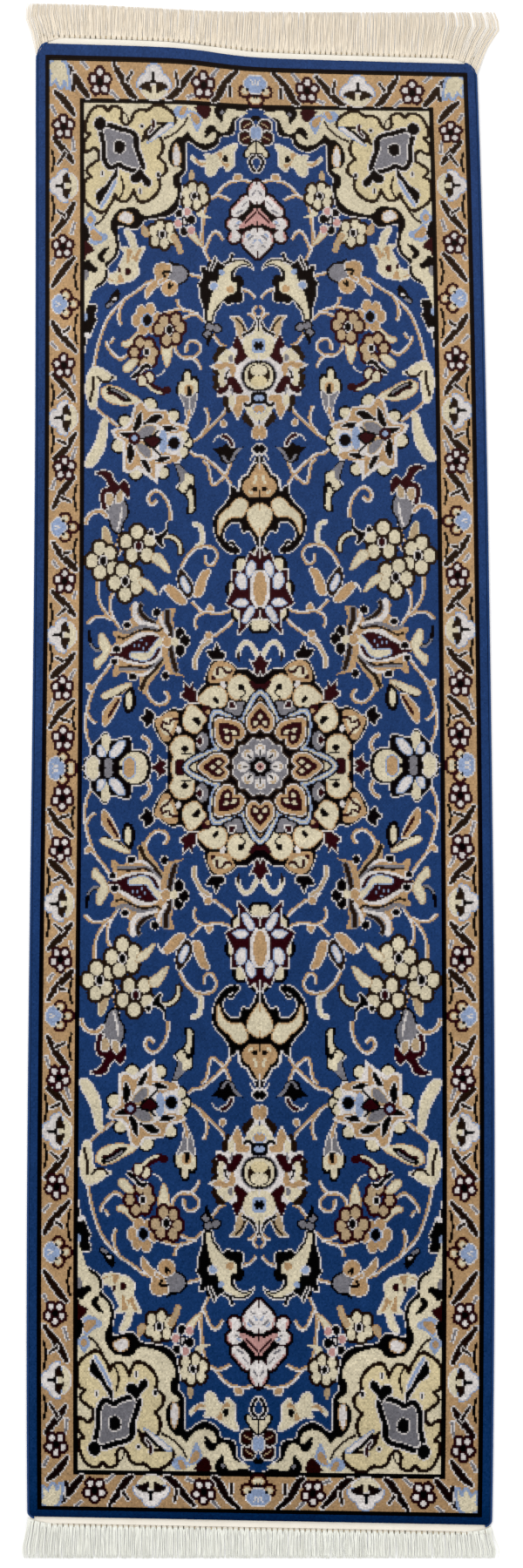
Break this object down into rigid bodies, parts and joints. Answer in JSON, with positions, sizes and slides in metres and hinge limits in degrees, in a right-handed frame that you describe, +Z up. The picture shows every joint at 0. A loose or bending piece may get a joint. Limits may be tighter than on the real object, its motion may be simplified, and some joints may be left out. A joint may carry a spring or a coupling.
{
  "type": "runner rug",
  "caption": "Narrow hand-knotted runner rug with a lobed central medallion, scalloped corner pieces, a flowered border and a cotton fringe at each end, lying flat.",
  "frame": {"origin": "middle of the medallion, on the underside that rests on the floor", "axes": "+X across the rug to its right-hand side, +Y along its length to the end with the longer fringe, +Z up out of the pile"},
  "size_m": [0.635, 2.081, 0.008],
  "materials": {
    "blue_wool": "short cut wool pile, deep blue, matt",
    "black_wool": "short cut wool pile, blue-black, matt",
    "camel_wool": "short cut wool pile, camel ground with coloured flowers, matt",
    "cream_wool": "short cut wool pile, cream ground with dark scrolls, matt with silk highlights",
    "medallion_wool": "short cut wool and silk pile, ivory, light blue and maroon, slight sheen",
    "ground_cotton": "tight cotton warp and weft with knot backs showing, matt",
    "warp_cotton": "loose ivory cotton warp yarn, matt",
    "overcast_wool": "wool yarn wrapped side by side, blue, matt",
    "core_cotton": "twisted cotton cord, ivory, matt"
  },
  "bodies": {
    "root": {"fringe_bottom": "warp_cotton", "fringe_top": "warp_cotton", "ground_weave": "ground_cotton", "kilim_band_bottom": "warp_cotton", "kilim_band_top": "warp_cotton", "pile_band_bottom": "blue_wool", "pile_band_left": "blue_wool", "pile_band_right": "blue_wool", "pile_band_top": "blue_wool", "pile_border_bottom": "camel_wool", "pile_border_left": "camel_wool", "pile_border_right": "camel_wool", "pile_border_top": "camel_wool", "pile_corner_bottom_left": "cream_wool", "pile_corner_bottom_right": "cream_wool", "pile_corner_top_left": "cream_wool", "pile_corner_top_right": "cream_wool", "pile_field_lower": "blue_wool", "pile_field_upper": "blue_wool", "pile_inner_guard": "black_wool", "pile_medallion": "medallion_wool", "pile_outer_guard": "black_wool", "selvedge_core_left": "core_cotton", "selvedge_core_right": "core_cotton", "selvedge_wrap_left": "overcast_wool", "selvedge_wrap_right": "overcast_wool", "twining_row_bottom": "warp_cotton", "twining_row_top": "warp_cotton"}
  },
  "joints": []
}
